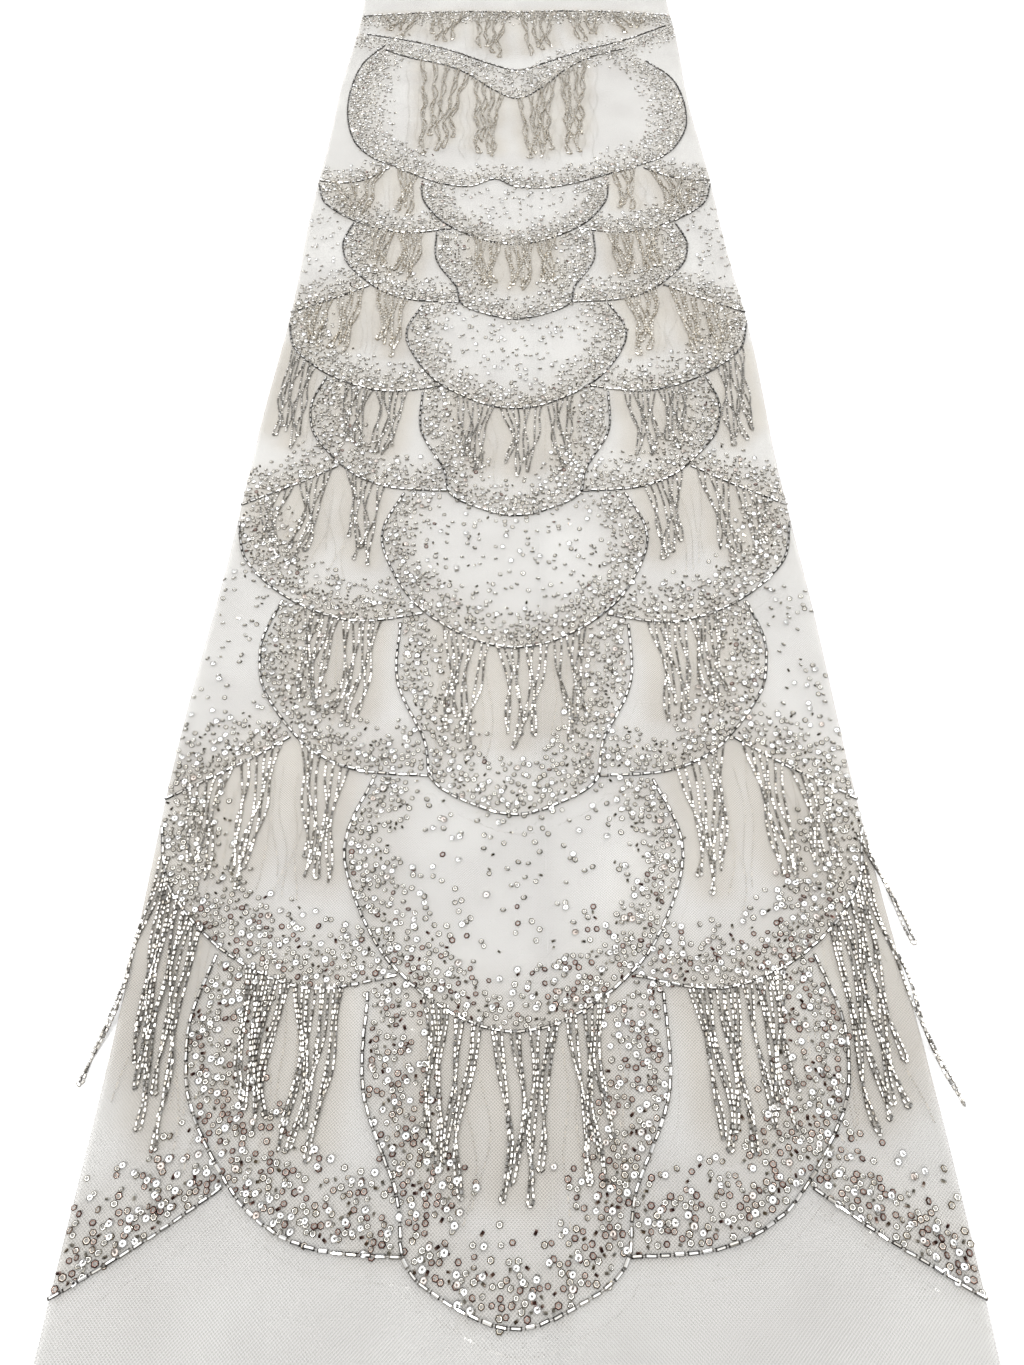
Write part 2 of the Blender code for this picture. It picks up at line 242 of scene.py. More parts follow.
def uneven(number):
    """An even spread of values between -1 and 1."""
    return math.sin(number * UNEVEN_TURN + UNEVEN_SWING * math.sin(number * UNEVEN_WAVE))


def ripple(x, y):
    """Height of the soft ripples of the upper layer."""
    waves = sum(share * np.sin(across * x + along * y + phase)
                for share, across, along, phase in RIPPLE_WAVES)
    return RIPPLE * (0.5 + waves)


def fold_at(side, y):
    """Distance of the fold from the middle, on the left (-1) or right (1)."""
    wander = sum(share * np.sin(along * y + phase * side) for share, along, phase in WANDER_WAVES)
    return HALF_WIDTH + EDGE_WANDER * wander


def top_height(x, y):
    """Height of the upper layer's outer face."""
    return UPPER_BASE + ripple(x, y)


def on_cloth(x, y):
    """A point of the chart, drawn in or out with the uneven fold."""
    return x * fold_at(1 if x > 0 else -1, y) / HALF_WIDTH, y


def at_share(points, share):
    """The point of a polyline at a share of its length."""
    steps = [math.dist(p, q) for p, q in zip(points, points[1:])]
    wanted = share * sum(steps)
    for p, q, step in zip(points, points[1:], steps):
        if wanted <= step:
            return tuple(u + (v - u) * wanted / step for u, v in zip(p, q))
        wanted -= step
    return tuple(points[-1])


def smooth(anchors, step):
    """Points about a step apart on a smooth curve through the anchors."""
    ends = [anchors[0], *anchors, anchors[-1]]
    fine = []
    for before, start, end, after in zip(ends, ends[1:], ends[2:], ends[3:]):
        for i in range(CURVE_STEPS):
            t = i / CURVE_STEPS
            fine.append(tuple(
                0.5 * (2 * q + (r - p) * t + (2 * p - 5 * q + 4 * r - s) * t * t
                       + (3 * q - p - 3 * r + s) * t ** 3)
                for p, q, r, s in zip(before, start, end, after)))
    fine.append(tuple(anchors[-1]))
    length = sum(math.dist(p, q) for p, q in zip(fine, fine[1:]))
    count = max(2, round(length / step))
    return [at_share(fine, i / count) for i in range(count + 1)]


def mirrored(anchors):
    return [(-x, y) for x, y in anchors]


def moved(anchors, foot):
    return [(x, y + foot) for x, y in anchors]


def strand_height(x, y):
    """Height of a string's middle: on the net, or down on the surface past the fold."""
    on_net = top_height(x, y) + STRAND_LIFT
    past = abs(x) - fold_at(1 if x > 0 else -1, y)
    drop = min(1.0, max(0.0, (past - DROP_START) / (DROP_END - DROP_START)))
    return on_net + (STRING_RADIUS - on_net) * drop


def strand_loop(root, centre, length, number, far=0.0, gather=0.0, sway=0.0, drift=0.0):
    """One string of beads from its root down, round its tip and up again, and one between."""
    down, up, between = [], [], []
    curl = CURL + (FAR_CURL - CURL) * far
    half = LOOP_HALF + (FAR_LOOP_HALF - LOOP_HALF) * far
    for i in range(STRAND_CELLS + 1):
        t = i / STRAND_CELLS
        sideways = sway * math.sin(SWAY_TURN * t + SWAY_SHIFT * centre) * t
        pull = gather * math.sin(math.pi / 2 * min(1.0, t / GATHERED_BY))
        x = root[0] + (centre - root[0]) * pull + drift * t ** DRIFT_POWER + sideways
        turn = CURL_WAVE * length * t + CURL_START * number
        x += curl * (math.sin(turn) - math.sin(CURL_START * number) * (1 - t)) * t ** CURL_POWER
        y = root[1] - length * t
        twist = math.sin(TWIST_WAVE * length * t + TWIST_START * number)
        apart = ROOT_HALF * (1 - t) ** 2 + half * twist * min(1.0, 2 * t)
        crossing = 0.0
        if abs(apart) < STRING_RADIUS:
            crossing = math.copysign(1.0, apart) * STRING_RADIUS * CROSSING
        for points, side in ((down, -1), (up, 1)):
            px, py = on_cloth(x + side * apart, y)
            height = strand_height(px, py) + side * crossing + STRING_RADIUS * STRING_RISE
            points.append((px, py, height))
        if t < MIDDLE_SHARE:
            px, py = on_cloth(x + half * math.cos(TWIST_WAVE * length * t + number), y)
            between.append((px, py, strand_height(px, py) + STRING_RADIUS * MIDDLE_RISE))
    return down + up[::-1], between


def below(path, across=LOWER_SHIFT[0], height=LOWER_MIDDLE):
    """A path over the cloth, moved to the lower layer."""
    points = []
    for x, y, *rest in path:
        x, y = x + across, y - LOWER_SHIFT[1]
        reach = fold_at(1 if x > 0 else -1, y) - LOWER_MARGIN
        points.append((min(reach, max(-reach, x)), y, height))
    return points


def strand_below(loop):
    """One side of a strand, moved into the gap between the layers, beside the strands above."""
    x = loop[0][0]
    outwards = 1 if abs(x) < OUTER_STRANDS else -1
    return below(loop[:STRAND_CELLS], math.copysign(STRAND_SHIFT, x) * outwards, BETWEEN_LAYERS)


class Line:
    """One beaded line: its node, its chart points and the strands that hang from it."""

    def __init__(self, node, kind, zone, anchors, side=1):
        self.node, self.kind, self.zone = node, kind, zone
        self.anchors, self.side, self.strands = anchors, side, []

    def hang(self, first, last, count, length_first, length_last, seed):
        """Hangs strands at even steps from one share of the line to another."""
        line = smooth(self.anchors, LINE_STEP)
        roots = [at_share(line, first + (last - first) * i / (count - 1)) for i in range(count)]
        spacing = min(abs(p[0] - q[0]) for p, q in zip(roots, roots[1:]))
        gather = max(0.0, min(GATHER, 1 - STRANDS_APART / spacing))
        clumps = max(1, round(count / CLUMP))
        far = self.zone / REPEATS
        for i, root in enumerate(roots):
            mates = [x for j, (x, y) in enumerate(roots) if j * clumps // count == i * clumps // count]
            centre = sum(mates) / len(mates)
            length = length_first + (length_last - length_first) * i / (count - 1)
            length *= 1 + LENGTH_UNEVEN * uneven(seed + i)
            self.strands.append(strand_loop(root, centre, length, seed + i, far, gather, SWAY))


def chart():
    """Every beaded line of the cloth, with its strands."""
    lines = []
    for repeat in range(REPEATS):
        foot = FIRST_FOOT + PITCH * repeat
        last = repeat == REPEATS - 1
        for kind, half in WHOLE_LINES.items():
            half = half[:-1] if last and kind == "shield" else half
            anchors = moved(mirrored(half[:0:-1]) + half, foot)
            lines.append((repeat, 0, Line(f"{kind}_{repeat}", kind, repeat, anchors)))
        for kind, right in HALF_LINES.items():
            for side, word in ((-1, "left"), (1, "right")):
                anchors = moved(mirrored(right) if side < 0 else right, foot)
                line = Line(f"{kind}_{word}_{repeat}", kind, repeat, anchors, side)
                lines.append((repeat, side, line))
    for repeat, side, line in lines:
        for row, (kind, where, *rest) in enumerate(FRINGES):
            if kind == line.kind and repeat in where:
                line.hang(*rest, seed=37 * row + 11 * repeat + 5 * side)
        for number, (kind, where, which, share, length, drift) in enumerate(STRAYS):
            if (kind, where, which) == (line.kind, repeat, side):
                root = at_share(smooth(line.anchors, LINE_STEP), share)
                line.strands.append(
                    strand_loop(root, root[0], length, number, drift=side * drift))
    made = [line for repeat, side, line in lines]
    for order, (kind, anchors) in enumerate(FAR_LINES.items()):
        line = Line(kind, kind, REPEATS, anchors)
        for row, (name, *rest) in enumerate(FAR_FRINGES):
            if name == kind:
                line.hang(*rest, seed=53 * row + 7 * order)
        made.append(line)
    return made


def link(obj):
    bpy.context.scene.collection.objects.link(obj)
    return obj


def mesh_object(name, points, faces):
    mesh = bpy.data.meshes.new(name)
    mesh.from_pydata(points, [], faces)
    mesh.update()
    return link(bpy.data.objects.new(name, mesh))


def grid_faces(rows, columns):
    """Faces over the points of a grid, row by row."""
    corners = (row * (columns + 1) + column for row in range(rows) for column in range(columns))
    return [(corner, corner + 1, corner + columns + 2, corner + columns + 1) for corner in corners]


def curve_object(name, paths):
    """One curve object with a straight-segment spline along each path."""
    data = bpy.data.curves.new(name, "CURVE")
    data.dimensions = "3D"
    for path in paths:
        spline = data.splines.new("POLY")
        spline.points.add(len(path) - 1)
        spline.points.foreach_set("co", [value for place in path for value in (*place, 1.0)])
    return link(bpy.data.objects.new(name, data))


class Tree:
    """A Geometry Nodes tree with named inputs of each kind, and short ways to join its nodes."""

    def __init__(self, name, **inputs):
        self.tree = bpy.data.node_groups.new(name, "GeometryNodeTree")
        self.tree.is_modifier = True
        face = self.tree.interface
        face.new_socket("Geometry", in_out="INPUT", socket_type="NodeSocketGeometry")
        face.new_socket("Geometry", in_out="OUTPUT", socket_type="NodeSocketGeometry")
        self.sockets = {}
        for kind, words in inputs.items():
            for word in words:
                socket = face.new_socket(word, in_out="INPUT", socket_type=f"NodeSocket{kind}")
                self.sockets[word] = socket.identifier
        self.start = self.tree.nodes.new("NodeGroupInput")
        self.end = self.tree.nodes.new("NodeGroupOutput")

    def add(self, kind, **settings):
        node = self.tree.nodes.new(kind)
        for word, value in settings.items():
            setattr(node, word, value)
        return node

    def join(self, source, target):
        self.tree.links.new(source, target)

    def put(self, value, socket):
        """Joins a socket's output to an input, or sets the input to a plain number."""
        if isinstance(value, (int, float)):
            socket.default_value = value
        else:
            self.join(value, socket)

    def given(self, word):
        return self.start.outputs[word]

    def kept(self, word):
        """The value that the mesh keeps under a name."""
        node = self.add("GeometryNodeInputNamedAttribute", data_type="FLOAT")
        node.inputs["Name"].default_value = word
        return node.outputs["Attribute"]

    def random(self, low, high, seed, kind="FLOAT"):
        """A random value for each point, from the sockets that its kind has."""
        node = self.add("FunctionNodeRandomValue", data_type=kind)
        places = {"FLOAT": (2, 3), "FLOAT_VECTOR": (0, 1)}[kind]
        node.inputs[places[0]].default_value = low
        node.inputs[places[1]].default_value = high
        node.inputs["Seed"].default_value = seed
        return node.outputs[{"FLOAT": 1, "FLOAT_VECTOR": 0}[kind]]

    def tilted(self, tilt, seed):
        """A random turn about the upright, tilted a little."""
        return self.random((-tilt, -tilt, 0.0), (tilt, tilt, FULL_TURN), seed, "FLOAT_VECTOR")

    def math(self, operation, first, second):
        node = self.add("ShaderNodeMath", operation=operation)
        self.put(first, node.inputs[0])
        self.put(second, node.inputs[1])
        return node.outputs[0]

    def place(self, **inputs):
        """The shape on each selected point."""
        node = self.add("GeometryNodeInstanceOnPoints")
        for word, value in inputs.items():
            self.join(value, node.inputs[word])
        return node.outputs["Instances"]

    def finish(self, instances):
        """Gives each bead its own tone and each facet a random value for the painted sparkle, then the
        material.
        """
        toned = keep_value(self, instances, "tone", self.random(0.0, 1.0, seed=91), "INSTANCE")
        real = self.add("GeometryNodeRealizeInstances")
        self.join(toned, real.inputs["Geometry"])
        sparkle_values = self.random(0.0, 1.0, seed=57)
        faceted = keep_value(self, real.outputs["Geometry"], "facet", sparkle_values, "FACE")
        finish = self.add("GeometryNodeSetMaterial")
        self.join(faceted, finish.inputs["Geometry"])
        self.join(self.given("Material"), finish.inputs["Material"])
        self.join(finish.outputs["Geometry"], self.end.inputs["Geometry"])


def keep_value(tree, geometry, word, value, domain="POINT"):
    """Keeps a value on the mesh under a name."""
    node = tree.add("GeometryNodeStoreNamedAttribute", data_type="FLOAT", domain=domain)
    node.inputs["Name"].default_value = word
    tree.join(geometry, node.inputs["Geometry"])
    tree.put(value, node.inputs["Value"])
    return node.outputs["Geometry"]


def upright_tube(tree, sides, radius, length):
    """A tube bead along Z, with its share of the way along kept for the painted shade at its ends."""
    bead = tree.add("GeometryNodeMeshCylinder", fill_type="NGON")
    for word, value in (("Vertices", sides), ("Radius", radius), ("Depth", length)):
        tree.put(value, bead.inputs[word])
    place = tree.add("GeometryNodeInputPosition")
    split = tree.add("ShaderNodeSeparateXYZ")
    tree.join(place.outputs[0], split.inputs[0])
    along = tree.math("ADD", tree.math("DIVIDE", split.outputs["Z"], length), 0.5)
    return keep_value(tree, bead.outputs["Mesh"], "along", along)


def circle(tree, sides, radius):
    node = tree.add("GeometryNodeCurvePrimitiveCircle")
    tree.put(sides, node.inputs["Resolution"])
    tree.put(radius, node.inputs["Radius"])
    return node.outputs["Curve"]


def swept(tree, path, profile, caps=False):
    """A profile drawn along a path."""
    node = tree.add("GeometryNodeCurveToMesh")
    node.inputs["Fill Caps"].default_value = caps
    tree.join(path, node.inputs["Curve"])
    tree.join(profile, node.inputs["Profile Curve"])
    return node.outputs["Mesh"]


def ring(tree, sides, wire_sides):
    """A ring bead, lying flat, with its outer rim and its hole told apart, for the painted shade on its
    rim.
    """
    wire = circle(tree, wire_sides, RING_WIRE)
    flat = tree.add("GeometryNodeTransform")
    flat.inputs["Scale"].default_value = (1.0, 1.0, RING_FLATNESS)
    tree.join(swept(tree, circle(tree, sides, RING_RADIUS), wire), flat.inputs["Geometry"])
    number = tree.add("GeometryNodeInputIndex")
    inner = tree.math("MINIMUM", tree.math("MODULO", number.outputs[0], wire_sides), 1)
    return keep_value(tree, flat.outputs["Geometry"], "along", inner)


def sequin(tree):
    """A flat sequin with its small middle hole."""
    middle = circle(tree, tree.given("Sides"), (SEQUIN_RADIUS + SEQUIN_HOLE) / 2)
    flat = tree.add("GeometryNodeCurvePrimitiveQuadrilateral")
    flat.inputs["Width"].default_value = SEQUIN_RADIUS - SEQUIN_HOLE
    flat.inputs["Height"].default_value = SEQUIN_THICKNESS
    return swept(tree, middle, flat.outputs["Curve"])


def string_tree():
    """Tube beads threaded on curves."""
    tree = Tree("threaded_beads", Float=("Pitch", "Bead radius", "Bead length"), Int=("Sides",),
                Material=("Material",))
    points = tree.add("GeometryNodeCurveToPoints", mode="LENGTH")
    tree.join(tree.given("Geometry"), points.inputs["Curve"])
    tree.join(tree.given("Pitch"), points.inputs["Length"])
    bead = upright_tube(tree, tree.given("Sides"), tree.given("Bead radius"), tree.given("Bead length"))
    align = tree.add("FunctionNodeAlignRotationToVector", axis="Z")
    tree.join(points.outputs["Tangent"], align.inputs["Vector"])
    turned = tree.add("FunctionNodeRotateRotation", rotation_space="LOCAL")
    tree.join(align.outputs["Rotation"], turned.inputs["Rotation"])
    tree.join(tree.tilted(TUBE_TILT, seed=5), turned.inputs["Rotate By"])
    size = tree.random(*TUBE_SIZES, seed=17, kind="FLOAT_VECTOR")
    tree.finish(tree.place(Points=points.outputs["Points"], Instance=bead,
                           Rotation=turned.outputs["Rotation"], Scale=size))
    return tree


def strewn_points(tree):
    """Points over a field, as thick as its density says, lifted off it."""
    strewn = tree.add("GeometryNodeDistributePointsOnFaces", distribute_method="POISSON")
    for word, socket in (("Geometry", "Mesh"), ("Spacing", "Distance Min"), ("Seed", "Seed"),
                         ("Beads a square metre", "Density Max")):
        tree.join(tree.given(word), strewn.inputs[socket])
    tree.join(tree.kept("density"), strewn.inputs["Density Factor"])
    lifted = tree.add("GeometryNodeSetPosition")
    tree.join(strewn.outputs["Points"], lifted.inputs["Geometry"])
    lift = tree.add("ShaderNodeCombineXYZ")
    tree.join(tree.given("Lift"), lift.inputs["Z"])
    tree.join(lift.outputs[0], lifted.inputs["Offset"])
    return lifted.outputs["Geometry"]


def strewn_tree(name, floats=(), whole=()):
    """A tree with the inputs of whatever is sewn over a field."""
    return Tree(name, Float=("Spacing", "Beads a square metre", "Lift", "Size", *floats),
                Int=("Seed", "Sides", *whole), Material=("Material",))


def bead_tree():
    """Ring beads and short tube beads sewn over a field."""
    tree = strewn_tree("sewn_beads", ("Tube share",), ("Tube sides",))
    points = strewn_points(tree)
    points = keep_value(tree, points, "pick", tree.random(0.0, 1.0, seed=3))
    is_tube = tree.math("LESS_THAN", tree.kept("pick"), tree.given("Tube share"))
    is_ring = tree.math("SUBTRACT", 1.0, is_tube)
    lying = tree.add("GeometryNodeTransform")
    lying.inputs["Rotation"].default_value = (math.pi / 2, 0.0, 0.0)
    tree.join(upright_tube(tree, tree.given("Tube sides"), SHORT_RADIUS, SHORT_LENGTH),
              lying.inputs["Geometry"])
    size = tree.math("MULTIPLY", tree.random(*RING_SIZES, seed=29), tree.given("Size"))
    both = tree.add("GeometryNodeJoinGeometry")
    for shape, tilt, seed, chosen in (
            (ring(tree, tree.given("Sides"), RING_WIRE_SIDES), RING_TILT, 7, is_ring),
            (lying.outputs["Geometry"], SHORT_TILT, 11, is_tube)):
        placed = tree.place(Points=points, Instance=shape, Rotation=tree.tilted(tilt, seed),
                            Selection=chosen, Scale=size)
        tree.join(placed, both.inputs[0])
    tree.finish(both.outputs[0])
    return tree


def sequin_tree():
    """Sequins sewn over a field."""
    tree = strewn_tree("sewn_sequins")
    size = tree.math("MULTIPLY", tree.random(*SEQUIN_SIZES, seed=29), tree.given("Size"))
    tree.finish(tree.place(Points=strewn_points(tree), Instance=sequin(tree),
                           Rotation=tree.tilted(SEQUIN_TILT, seed=13), Scale=size))
    return tree


def thread_tree():
    """A fine thread along each curve."""
    tree = Tree("sewing_thread", Float=("Thread radius",), Material=("Material",))
    wire = circle(tree, THREAD_SIDES, tree.given("Thread radius"))
    tree.finish(swept(tree, tree.given("Geometry"), wire, caps=True))
    return tree


def made_by(tree, source, name, **values):
    """The plain mesh that a tree makes from a source object."""
    modifier = source.modifiers.new(name, "NODES")
    modifier.node_group = tree.tree
    for word, value in values.items():
        modifier[tree.sockets[word.replace("_", " ")]] = value
    bpy.context.view_layer.update()
    evaluated = source.evaluated_get(bpy.context.evaluated_depsgraph_get())
    mesh = bpy.data.meshes.new_from_object(evaluated)
    source.modifiers.remove(modifier)
    bpy.data.objects.remove(source)
    mesh.name = name
    turn_out(mesh)
    return link(bpy.data.objects.new(name, mesh))


def turn_out(mesh):
    """Makes every face of closed shapes point outwards."""
    work = bmesh.new()
    work.from_mesh(mesh)
    bmesh.ops.recalc_face_normals(work, faces=work.faces)
    work.to_mesh(mesh)
    work.free()


def keep(piece, slot, *nodes):
    """Attaches a finished piece to the root and hides the parts it replaces."""
    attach(piece, "root")
    if nodes:
        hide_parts(*nodes)


# Materials
def shader_of(name):
    """A new material, its tree and its shader."""
    made = bpy.data.materials.new(name)
    made.use_nodes = True
    return made, made.node_tree, made.node_tree.nodes["Principled BSDF"]


def object_place(tree):
    """Each point's place in the object."""
    return tree.nodes.new("ShaderNodeTexCoord").outputs["Object"]


def parts(tree, vector):
    """The X, Y and Z of a vector."""
    split = tree.nodes.new("ShaderNodeSeparateXYZ")
    tree.links.new(vector, split.inputs[0])
    return split.outputs


def reckoned(tree, operation, *values):
    """The result of a sum on plain numbers and the outputs of nodes."""
    node = tree.nodes.new("ShaderNodeMath")
    node.operation = operation
    for value, socket in zip(values, node.inputs):
        if isinstance(value, float):
            socket.default_value = value
        else:
            tree.links.new(value, socket)
    return node.outputs[0]


def mapped(tree, value, given, wanted):
    """A value brought from one range into another, and held at its ends."""
    node = tree.nodes.new("ShaderNodeMapRange")
    for word, limit in zip(("From Min", "From Max", "To Min", "To Max"), (*given, *wanted)):
        node.inputs[word].default_value = limit
    tree.links.new(value, node.inputs["Value"])
    return node.outputs["Result"]


def clouds(tree, place, scale):
    """Soft uneven patches."""
    node = tree.nodes.new("ShaderNodeTexNoise")
    node.inputs["Scale"].default_value = scale
    tree.links.new(place, node.inputs["Vector"])
    return node.outputs["Fac"]


def ramp(tree, value, stops):
    """The colour at a value, between stops."""
    node = tree.nodes.new("ShaderNodeValToRGB")
    while len(node.color_ramp.elements) < len(stops):
        node.color_ramp.elements.new(0.5)
    for element, (place, colour) in zip(node.color_ramp.elements, stops):
        element.position = place
        element.color = (*colour, 1.0)
    tree.links.new(value, node.inputs["Fac"])
    return node.outputs["Color"]


def kept(tree, word):
    """The value that the mesh keeps under a name."""
    node = tree.nodes.new("ShaderNodeAttribute")
    node.attribute_name = word
    return node.outputs["Fac"]


def mixed(tree, first, second):
    """A mix of two colours."""
    mix = tree.nodes.new("ShaderNodeMix")
    mix.data_type = "RGBA"
    tree.links.new(first, mix.inputs["A"])
    tree.links.new(second, mix.inputs["B"])
    return mix


def multiplied(tree, first, second):
    """One colour tinted with another."""
    mix = mixed(tree, first, second)
    mix.blend_type = "MULTIPLY"
    mix.inputs["Factor"].default_value = 1.0
    return mix.outputs["Result"]


def blended(tree, share, first, second):
    """The first colour where the share is 0, the second where it is 1."""
    mix = mixed(tree, first, second)
    tree.links.new(share, mix.inputs["Factor"])
    return mix.outputs["Result"]


def grey(stops):
    return [(place, (value, value, value)) for place, value in stops]


def bright_middle(start, full):
    """A core that begins to show at one share of a bead's length and shows in full at another; the ends
    before it take the painted shade.
    """
    return [(0.0, 0.0), (start, 0.0), (full, 1.0), (1 - full, 1.0), (1 - start, 0.0)]


def bead_finish(name, core, painted_shade, clear, roughness, metallic, painted_flank_shade=None, bronze=None):
    """Silver-lined glass: a bright silver-lined core, with painted shade on a ring's rim, on a tube's
    ends and on flanks turned from straight up, and a painted sparkle from facet to facet.
    """
    made, tree, shader = shader_of(name)
    tone = kept(tree, "tone")
    # The painted shade colour for rims, ends and flanks, and the bright silver-lined core
    shade_colour, inner = ramp(tree, tone, painted_shade), ramp(tree, tone, core)
    if bronze:
        picked = bronze_share(tree, tone)
        shade_colour = blended(tree, picked, shade_colour, ramp(tree, tone, bronze[0]))
        inner = blended(tree, picked, inner, ramp(tree, tone, bronze[1]))
    shown = ramp(tree, kept(tree, "along"), grey(clear))
    # Faces turned from straight up take the painted shade, and upward faces keep the bright core as a
    # painted highlight streak
    if painted_flank_shade:
        facing = tree.nodes.new("ShaderNodeNewGeometry").outputs["Normal"]
        shown = multiplied(tree, shown, ramp(tree, parts(tree, facing)["Z"], grey(painted_flank_shade)))
    colour = blended(tree, shown, shade_colour, inner)
    # A random darkening from facet to facet: painted sparkle
    painted_sparkle = ramp(tree, kept(tree, "facet"), PAINTED_SPARKLE)
    tree.links.new(multiplied(tree, colour, painted_sparkle), shader.inputs["Base Color"])
    tree.links.new(mapped(tree, tone, (0.0, 1.0), roughness), shader.inputs["Roughness"])
    shader.inputs["Metallic"].default_value = metallic
    return made


def thread_finish():
    """Fine pale thread, a little uneven in colour."""
    made, tree, shader = shader_of("pale_thread")
    colour = ramp(tree, clouds(tree, object_place(tree), 60.0),
                  [(0.3, (0.72, 0.70, 0.65)), (0.7, (0.90, 0.89, 0.86))])
    tree.links.new(colour, shader.inputs["Base Color"])
    shader.inputs["Roughness"].default_value = 0.6
    return made


def bronze_share(tree, tone):
    """Picks the bronze beads, which are many at the near hem and few beyond it."""
    least = mapped(tree, parts(tree, object_place(tree))["Y"], BRONZE_PLACES, BRONZE_TONES)
    return reckoned(tree, "GREATER_THAN", tone, least)


def net_finish():
    """Fine see-through net: pale threads round small even holes, and a champagne tint under beads and
    fringes, partly the colour of threads and beads beneath and partly painted shadow.
    """
    made, tree, shader = shader_of("cream_net")
    place = object_place(tree)
    turn = tree.nodes.new("ShaderNodeMapping")
    turn.inputs["Rotation"].default_value = (0.0, 0.0, math.radians(45))
    turn.inputs["Scale"].default_value = (2 / MESH_PITCH, 2 / MESH_PITCH, 1.0)
    tree.links.new(place, turn.inputs["Vector"])
    grid = parts(tree, turn.outputs["Vector"])
    across, along = (reckoned(tree, "PINGPONG", grid[axis], 1.0) for axis in "XY")
    hole = reckoned(tree, "MINIMUM", across, along)
    alpha = mapped(tree, hole, THREAD_TO_HOLE, NET_OPACITY)
    worked_and_shaded = kept(tree, "worked_and_shaded")
    thicker = reckoned(tree, "MULTIPLY_ADD", worked_and_shaded, WORKED_OPACITY, alpha)
    tree.links.new(thicker, shader.inputs["Alpha"])
    cream = ramp(tree, clouds(tree, place, 9.0), [(0.3, (0.68, 0.665, 0.64)), (0.7, (0.78, 0.77, 0.745))])
    # Darker, warmer net under beads and fringes: partly the threads and beads beneath, partly painted
    # shadow
    thread_and_shadow_tint = ramp(tree, worked_and_shaded, [(0.0, (1.0, 1.0, 1.0)), (1.0, (0.85, 0.815, 0.76))])
    beyond_hem = mapped(tree, parts(tree, place)["Y"], HEM_PLACES, (0.0, 1.0))
    hem = ramp(tree, beyond_hem, grey([(0.0, 0.90), (1.0, 1.0)]))
    colour = multiplied(tree, multiplied(tree, cream, hem), thread_and_shadow_tint)
    tree.links.new(colour, shader.inputs["Base Color"])
    shader.inputs["Roughness"].default_value = 0.75
    shader.inputs["Sheen Weight"].default_value = 0.15
    return made


# The net
def net_section(y):
    """The folded section at one place along the cloth, from selvedge to selvedge."""
    low = LOWER_TOP - NET_THICKNESS / 2
    left = -(fold_at(-1, y) - SHEET - LAYER_GAP / 2)
    right = fold_at(1, y) - SHEET - LAYER_GAP / 2
    across = round(2 * HALF_WIDTH / NET_CELL)
    points = [(x, low) for x in np.linspace(SELVEDGES_MEET - SELVEDGE_GAP, left, across // 4 + 1)]
    points += fold(left, y, low, -1)
    points += [(x, top_height(x, y) - NET_THICKNESS / 2) for x in np.linspace(left, right, across + 1)]
    points += reversed(fold(right, y, low, 1))
    points += [(x, low) for x in np.linspace(right, SELVEDGES_MEET + SELVEDGE_GAP, across // 4 + 1)]
    return points


def fold(x, y, low, side):
    """The inner points of one fold, from the lower layer up."""
    high = top_height(x, y) - NET_THICKNESS / 2
    points = []
    for i in range(1, FOLD_CELLS):
        turn = math.pi * i / FOLD_CELLS
        reach = SHEET + LAYER_GAP / 2 - NET_THICKNESS / 2
        points.append((x + side * reach * math.sin(turn), low + (high - low) * (1 - math.cos(turn)) / 2))
    return points


def net_sheet():
    """The folded net, with how much it is worked and shaded by beads and fringes kept at each point, for
    its finish's tint of thread colour and painted shadow.
    """
    rows = round(LENGTH / NET_CELL / 2)
    points = []
    for row in range(rows + 1):
        y = NET_LOW[1] + LENGTH * row / rows
        points += [(x, y, z) for x, z in net_section(y)]
    net = mesh_object("net_cloth", points, grid_faces(rows, len(net_section(0.0)) - 1))
    places = np.array(points)
    beaded = BEADED_SHADE_TINT * density_at(places[:, 0], places[:, 1])
    worked_and_shaded = np.maximum(beaded, fringe_shade(places)) * np.interp(places[:, 1], *NET_SHADE_TINT_ALONG)
    net.data.attributes.new("worked_and_shaded", "FLOAT", "POINT").data.foreach_set("value", worked_and_shaded)
    turn_out(net.data)
    net.data.shade_smooth()
    net.data.materials.append(net_finish())
    thick = net.modifiers.new("Thickness", "SOLIDIFY")
    thick.thickness = NET_THICKNESS
    thick.offset = 0
    return net


# The field of beads
def line_points(line, step=0.004):
    return np.array(smooth(line.anchors, step))


def density_at(x, y):
    """How thickly the beads are sewn at each point, from 0 to 1."""
    place = np.stack([x, y], axis=1)
    total = np.zeros(len(x))
    clear = np.ones(len(x), bool)
    for line in LINES:
        width, strength, side = BANDS[line.kind]
        side *= line.side
        points = line_points(line)
        low, high = points.min(0) - BAND_REACH * width, points.max(0) + BAND_REACH * width
        near = np.flatnonzero(np.all((place > low) & (place < high), axis=1))
        if not len(near):
            continue
        gap = place[near][:, None, :] - points[None, :, :]
        distance = np.linalg.norm(gap, axis=2)
        nearest = distance.argmin(1)
        rows = np.arange(len(near))
        way = np.gradient(points, axis=0)[nearest]
        to = gap[rows, nearest]
        on_side = (way[:, 0] * to[:, 1] - way[:, 1] * to[:, 0]) * side > 0
        far = distance[rows, nearest] / width
        value = strength * np.clip(BAND_END - far, 0, 1) ** BAND_POWER * on_side
        total[near] = np.maximum(total[near], value)
        clear[near] &= distance[rows, nearest] > LINE_CLEAR
    return total * clear


def shield_field(x, y):
    """The sparse middles of the shields."""
    value = np.zeros(len(x))
    for line in LINES:
        if line.kind == "shield":
            value[inside(x, y, line_points(line, OUTLINE_STEP))] = SHIELD_CENTRE_DENSITY
    return value


